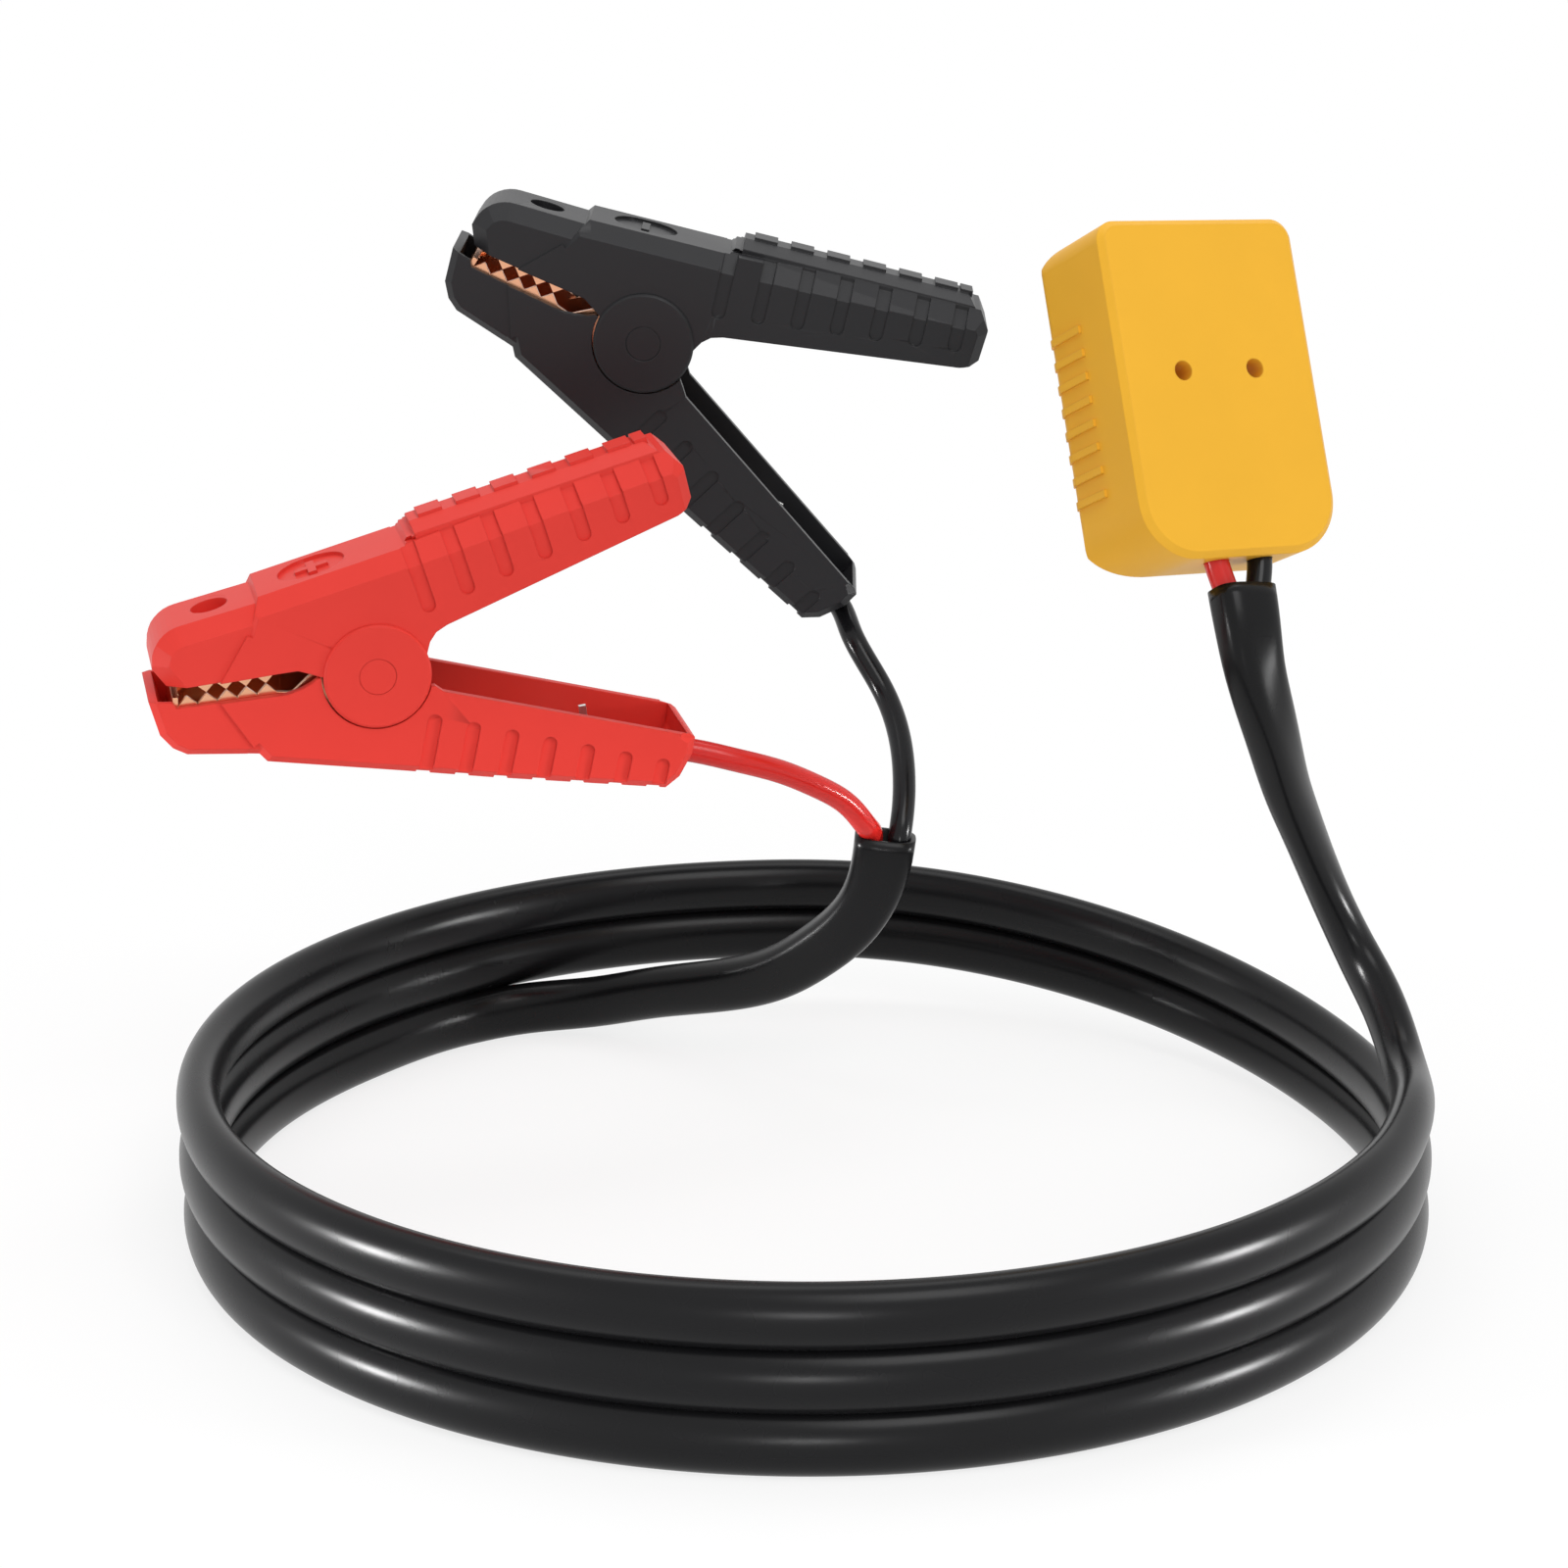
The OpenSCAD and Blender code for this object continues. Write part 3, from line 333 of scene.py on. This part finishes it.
wires = [
    wire("red_lead_wire",
         clamp_wire_points(RED_AT, RED_TURN, RED_DROP,
                           np.concatenate([RED_REST, in_mouth(-1, MOUTH_SIDE)])),
         "wire_red", "red_clamp_wire"),
    wire("black_lead_wire",
         clamp_wire_points(BLACK_AT, BLACK_TURN, BLACK_DROP,
                           np.concatenate([BLACK_REST, in_mouth(-1, -MOUTH_SIDE)])),
         "wire_black", "black_clamp_wire"),
    wire("red_pod_lead_wire", pod_wire_points(-5.5, POD_SIDE), "wire_red", "red_pod_wire"),
    wire("black_pod_lead_wire", pod_wire_points(7.5, -POD_SIDE), "wire_black", "black_pod_wire"),
]


# ---- Covers -------------------------------------------------------------------------------

# Surfaces of a clamp: where they start, as (along, up), and how steeply they rise, in degrees.
LEVEL = ((0, 0), 0)
ROOF = ((-41.2, 15), 16.5)       # of the nose
BACK = ((7.6, 34.6), 18.9)       # of the upper grip
BRIDGE_X, BRIDGE_Y = 5.2, 7.5    # half the block that closes the nose's long hole
BRIDGE_LOW, BRIDGE_HIGH = -4.2, -0.01
RECESS_R, RECESS_LOW = 4.8, -3.4
PIN_R, PIN_LOW = 1.3, -6
GRIP = (-3, 80)                  # along the back
BEVEL_TOP, BEVEL_FOOT = 9.3, 14.5    # the bevel's edges, off the middle
FOOT_START, FOOT_RISE, FOOT_SPAN = -6.05, 1.05, 68.9    # height of its lower edge under the back
OUTSIDE, ABOVE = 16, 3           # past the grip's side, and over its back
GROOVES = -0.62 + 10.76 * np.arange(7)    # their middles along the back
GROOVE_W, GROOVE_DEPTH = 3.7, 1.2
LIP_X, LIP_TOP = -50.9, -6.3     # the back and the top of the lower cover's front lip
NOSE_CLEAR = (-70, 20, 10)       # past the nose: along, across, up


def sloped(surface, p):
    """Clamp coordinates of points (along, across, up) on a surface."""
    (x, z), rise = surface
    c, s = math.cos(math.radians(rise)), math.sin(math.radians(rise))
    p = np.asarray(p, float)
    return np.stack([x + p[:, 0] * c - p[:, 2] * s, p[:, 1], z + p[:, 0] * s + p[:, 2] * c], 1)


def between(lower, upper):
    """Closed solid: points and faces of two outlines of equal count, joined all round."""
    n = len(lower)
    k = np.arange(n)
    round_it = np.stack([k, (k + 1) % n, (k + 1) % n + n, k + n], 1).tolist()
    return np.concatenate([lower, upper]), round_it + [k[::-1].tolist(), (k + n).tolist()]


def upright(surface, outline, low, high):
    """Solid on an outline (along, across), from low to high over a surface."""
    outline = np.asarray(outline, float)
    ends = [np.insert(outline, 2, h, axis=1) for h in (low, high)]
    return between(*[sloped(surface, e) for e in ends])


def oblong(x0, x1, y):
    """Outline from x0 to x1 along, and from -y to y across."""
    return [[x0, -y], [x1, -y], [x1, y], [x0, y]]


def circle(r, count=48):
    """Outline of radius r about the surface's start."""
    a = 2 * np.pi * np.arange(count) / count
    return np.stack([r * np.cos(a), r * np.sin(a)], 1)


def bevel_blocks(start, stop, deeper=0):
    """What the bevels along the grip's back take off its two sides, from start to stop."""
    blocks = []
    for side in (-1, 1):
        ends = []
        for u in (start, stop):
            foot = FOOT_START + FOOT_RISE * u / FOOT_SPAN
            fall = foot / (BEVEL_FOOT - BEVEL_TOP)
            ends.append([[u, side * OUTSIDE, foot + (OUTSIDE - BEVEL_FOOT) * fall - deeper],
                         [u, side * BEVEL_TOP, -deeper], [u, side * BEVEL_TOP, ABOVE],
                         [u, side * OUTSIDE, ABOVE]])
        blocks.append(between(*[sloped(BACK, e) for e in ends]))
    return blocks


def solid(at, turn, blocks):
    """One mesh object of closed blocks, given in clamp coordinates.  Its faces are triangles, so
    that none is twisted."""
    mesh = bpy.data.meshes.new("blocks")
    points, faces, count = [], [], 0
    for p, f in blocks:
        points += (seen(at, turn, p) * MM).tolist()
        faces += [[i + count for i in face] for face in f]
        count += len(p)
    mesh.from_pydata(points, [], faces)
    work = bmesh.new()
    work.from_mesh(mesh)
    bmesh.ops.recalc_face_normals(work, faces=work.faces)
    bmesh.ops.triangulate(work, faces=work.faces)
    work.to_mesh(mesh)
    work.free()
    blocks = bpy.data.objects.new("blocks", mesh)
    bpy.context.scene.collection.objects.link(blocks)
    return blocks


SLOTS = {s["node"]: s["material_slot"] for s in frame["record"]["subparts"]}
SAME_POINT = 2e-6                # metres


def finished_cover(node, at, turn, steps):
    """Cover with its last cuts: the node's solid with blocks joined to it or taken from it, in
    turn; steps has (operation, blocks) pairs."""
    old = frame["nodes"][node]
    work = bmesh.new()
    work.from_mesh(old.data)
    bmesh.ops.remove_doubles(work, verts=work.verts, dist=SAME_POINT)
    mesh = bpy.data.meshes.new(node + "_finished")
    work.to_mesh(mesh)
    work.free()
    piece = bpy.data.objects.new(node + "_finished", mesh)
    bpy.context.scene.collection.objects.link(piece)
    for operation, blocks in steps:
        tool = solid(at, turn, blocks)
        change = piece.modifiers.new("change", "BOOLEAN")
        change.operation, change.solver, change.object = operation, "EXACT", tool
        whole = piece.evaluated_get(bpy.context.evaluated_depsgraph_get())
        made = bpy.data.meshes.new_from_object(whole)
        piece.modifiers.clear()
        piece.data = made
        bpy.data.objects.remove(tool)
    piece.data.materials.clear()
    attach(piece, body_of(old)[0])
    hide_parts(node)
    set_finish(piece, SLOTS[node])
    return piece


GROOVE_BLOCKS = [bevel_blocks(g - GROOVE_W / 2, g + GROOVE_W / 2, GROOVE_DEPTH) for g in GROOVES]
UPPER_STEPS = [
    ("UNION", [upright(ROOF, oblong(-BRIDGE_X, BRIDGE_X, BRIDGE_Y), BRIDGE_LOW, BRIDGE_HIGH)]),
    ("DIFFERENCE", [upright(ROOF, circle(RECESS_R), RECESS_LOW, 1)]),
    ("DIFFERENCE", [upright(ROOF, circle(PIN_R, 24), PIN_LOW, 1)]),
    ("DIFFERENCE", [pair[side] for side in (0, 1) for pair in GROOVE_BLOCKS]),
    ("DIFFERENCE", bevel_blocks(*GRIP))]
LOWER_STEPS = [("DIFFERENCE", [upright(LEVEL, oblong(NOSE_CLEAR[0], LIP_X, NOSE_CLEAR[1]),
                                       LIP_TOP, NOSE_CLEAR[2])])]

covers = []
for hue, at, turn in (("red", RED_AT, RED_TURN), ("black", BLACK_AT, BLACK_TURN)):
    for half, steps in (("upper", UPPER_STEPS), ("lower", LOWER_STEPS)):
        covers.append(finished_cover(f"{hue}_{half}_cover", at, turn, steps))


# ---- Materials ----------------------------------------------------------------------------

TINT, ROUGH_DRIFT = 0.04, 0.05   # how far the colour and the roughness drift either way
DRIFT_SCALE = 40


def material(name, colour, rough, metal=0.0, grain=0.0, grain_size=1.0, bevel=0.0, spec=0.5):
    """Moulded or metal finish: a colour that drifts a little, a roughness that varies, and a fine
    bump of grain_size millimetres; bevel rounds the look of hard edges, in millimetres."""
    m = bpy.data.materials.new(name)
    m.use_nodes = True
    nodes, links = m.node_tree.nodes, m.node_tree.links
    shader = nodes["Principled BSDF"]
    shader.inputs["Metallic"].default_value = metal
    shader.inputs["Specular IOR Level"].default_value = spec
    place = nodes.new("ShaderNodeTexCoord")
    drift = nodes.new("ShaderNodeTexNoise")
    drift.inputs["Scale"].default_value = DRIFT_SCALE
    drift.inputs["Detail"].default_value = 4
    links.new(place.outputs["Object"], drift.inputs["Vector"])
    mix = nodes.new("ShaderNodeMix")
    mix.data_type = "RGBA"
    mix.inputs["A"].default_value = (*[c * (1 - TINT) for c in colour], 1)
    mix.inputs["B"].default_value = (*[min(1, c * (1 + TINT)) for c in colour], 1)
    links.new(drift.outputs["Fac"], mix.inputs["Factor"])
    links.new(mix.outputs["Result"], shader.inputs["Base Color"])
    span = nodes.new("ShaderNodeMapRange")
    span.inputs["To Min"].default_value = rough - ROUGH_DRIFT
    span.inputs["To Max"].default_value = rough + ROUGH_DRIFT
    links.new(drift.outputs["Fac"], span.inputs["Value"])
    links.new(span.outputs["Result"], shader.inputs["Roughness"])
    fine = nodes.new("ShaderNodeTexNoise")
    fine.inputs["Scale"].default_value = 1 / (grain_size * MM)
    fine.inputs["Detail"].default_value = 3
    links.new(place.outputs["Object"], fine.inputs["Vector"])
    bump = nodes.new("ShaderNodeBump")
    bump.inputs["Strength"].default_value = grain
    bump.inputs["Distance"].default_value = 0.1 * MM
    links.new(fine.outputs["Fac"], bump.inputs["Height"])
    if bevel:
        edge = nodes.new("ShaderNodeBevel")
        edge.inputs["Radius"].default_value = bevel * MM
        edge.samples = 6
        links.new(edge.outputs["Normal"], bump.inputs["Normal"])
    links.new(bump.outputs["Normal"], shader.inputs["Normal"])
    return m


FINISH = {
    "pod_yellow": material("moulded yellow", (0.88, 0.46, 0.035), 0.42, grain=0.12, bevel=0.5,
                           spec=0.16),
    "dock_black": material("dock black", (0.016, 0.016, 0.018), 0.42, grain=0.15, bevel=0.3,
                           spec=0.3),
    "contact_brass": material("contact brass", (0.72, 0.5, 0.2), 0.22, metal=1, bevel=0.15),
    "sheath_black": material("sheath black", (0.005, 0.005, 0.0055), 0.27, grain=0.06,
                             grain_size=0.7, spec=0.17),
    "wire_red": material("red insulation", (0.62, 0.02, 0.016), 0.2, grain=0.05, spec=0.3),
    "wire_black": material("black insulation", (0.008, 0.008, 0.009), 0.2, grain=0.05, spec=0.2),
    "jaw_copper": material("copper plate", (0.82, 0.42, 0.25), 0.24, metal=1, bevel=0.15),
    "ferrule_tin": material("tinned ferrule", (0.7, 0.7, 0.68), 0.3, metal=1, bevel=0.2),
    "spring_steel": material("spring steel", (0.5, 0.5, 0.51), 0.26, metal=1),
    "rivet_steel": material("plated rivet", (0.78, 0.78, 0.78), 0.16, metal=1, bevel=0.15),
    "clamp_red": material("moulded red", (0.76, 0.048, 0.036), 0.42, grain=0.1, bevel=0.45,
                          spec=0.15),
    "clamp_black": material("moulded black", (0.014, 0.014, 0.016), 0.4, grain=0.12, bevel=0.45,
                            spec=0.3),
}

for node, obj in frame["nodes"].items():
    obj.data.materials.clear()
    obj.data.materials.append(FINISH[SLOTS[node]])
for piece in (sheath, *[piece for piece, _ in wires], *covers):
    piece.data.materials.append(FINISH[piece["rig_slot"]])


# ---- Floor and light ----------------------------------------------------------------------

def straight_rays(nodes, links):
    """Socket that is 1 for rays that show the background: camera, glossy and transmission rays."""
    path = nodes.new("ShaderNodeLightPath")
    rays = path.outputs["Is Camera Ray"]
    for kind in ("Is Glossy Ray", "Is Transmission Ray"):
        either = nodes.new("ShaderNodeMath")
        either.operation = "MAXIMUM"
        links.new(rays, either.inputs[0])
        links.new(path.outputs[kind], either.inputs[1])
        rays = either.outputs[0]
    return rays


FLOOR_HALF = 6
FADE_NEAR, FADE_FAR = 0.2, 0.42  # where the floor's shadows start to fade, and where they end
GLOW_NEAR = 0.78                 # share of plain white in the floor near the part


def floor_look():
    """White floor that takes shadows near the part and glows plain white further out."""
    m = bpy.data.materials.new("floor white")
    m.use_nodes = True
    nodes, links = m.node_tree.nodes, m.node_tree.links
    near = nodes["Principled BSDF"]
    near.inputs["Base Color"].default_value = (0.97, 0.97, 0.97, 1)
    near.inputs["Roughness"].default_value = 1
    near.inputs["Specular IOR Level"].default_value = 0
    place = nodes.new("ShaderNodeTexCoord")
    reach = nodes.new("ShaderNodeVectorMath")
    reach.operation = "LENGTH"
    links.new(place.outputs["Object"], reach.inputs[0])
    fade = nodes.new("ShaderNodeMapRange")
    fade.interpolation_type = "SMOOTHSTEP"
    fade.inputs["From Min"].default_value = FADE_NEAR
    fade.inputs["From Max"].default_value = FADE_FAR
    fade.inputs["To Min"].default_value = GLOW_NEAR
    links.new(reach.outputs["Value"], fade.inputs["Value"])
    glow = nodes.new("ShaderNodeEmission")
    glow.inputs["Strength"].default_value = 1.0
    mix = nodes.new("ShaderNodeMixShader")
    share = nodes.new("ShaderNodeMath")
    share.operation = "MULTIPLY"
    links.new(fade.outputs["Result"], share.inputs[0])
    links.new(straight_rays(nodes, links), share.inputs[1])
    links.new(share.outputs[0], mix.inputs["Fac"])
    links.new(near.outputs["BSDF"], mix.inputs[1])
    links.new(glow.outputs["Emission"], mix.inputs[2])
    links.new(mix.outputs["Shader"], nodes["Material Output"].inputs["Surface"])
    return m


floor_mesh = bpy.data.meshes.new("floor")
floor_mesh.from_pydata([(x * FLOOR_HALF, y * FLOOR_HALF, 0)
                        for x, y in ((-1, -1), (1, -1), (1, 1), (-1, 1))], [], [(0, 1, 2, 3)])
floor = bpy.data.objects.new("floor", floor_mesh)
bpy.context.scene.collection.objects.link(floor)
floor.data.materials.append(floor_look())


def area_light(name, at, look, size, power, spread=180):
    """Soft rectangular lamp at a point in metres, turned towards another; power in watts, and
    spread in degrees."""
    data = bpy.data.lights.new(name, "AREA")
    data.shape = "RECTANGLE"
    data.size, data.size_y = size
    data.energy = power
    data.spread = math.radians(spread)
    lamp = bpy.data.objects.new(name, data)
    lamp.location = at
    way = np.array(look, float) - np.array(at, float)
    lamp.rotation_mode = "QUATERNION"
    lamp.rotation_quaternion = Vector(way).to_track_quat("-Z", "Y")
    bpy.context.scene.collection.objects.link(lamp)


area_light("key", (0.6, -1.3, 1.7), (0, 0, 0.1), (1.0, 1.0), 14)
area_light("top", (-0.2, 0.5, 2.2), (0, 0, 0.1), (2.2, 0.8), 12)
area_light("low front", (0, -1.1, 0.05), (0, 0, 0.02), (1.0, 0.14), 0.075, 11)
area_light("low left", (-0.7, -0.22, 0.05), (0, -0.06, 0.02), (0.8, 0.16), 0.62, 16)
area_light("low right", (0.7, -0.22, 0.05), (0, -0.06, 0.02), (0.8, 0.16), 0.42, 16)

WORLD_LIGHT, WORLD_SEEN = 0.6, 1.0   # the world's strength as a light, and where it is seen
world = bpy.data.worlds.new("studio")
bpy.context.scene.world = world
world.use_nodes = True
nodes, links = world.node_tree.nodes, world.node_tree.links
nodes["Background"].inputs["Color"].default_value = (1, 1, 1, 1)
strength = nodes.new("ShaderNodeMapRange")
strength.inputs["To Min"].default_value = WORLD_LIGHT
strength.inputs["To Max"].default_value = WORLD_SEEN
links.new(straight_rays(nodes, links), strength.inputs["Value"])
links.new(strength.outputs["Result"], nodes["Background"].inputs["Strength"])

bpy.context.scene.view_settings.view_transform = "Standard"
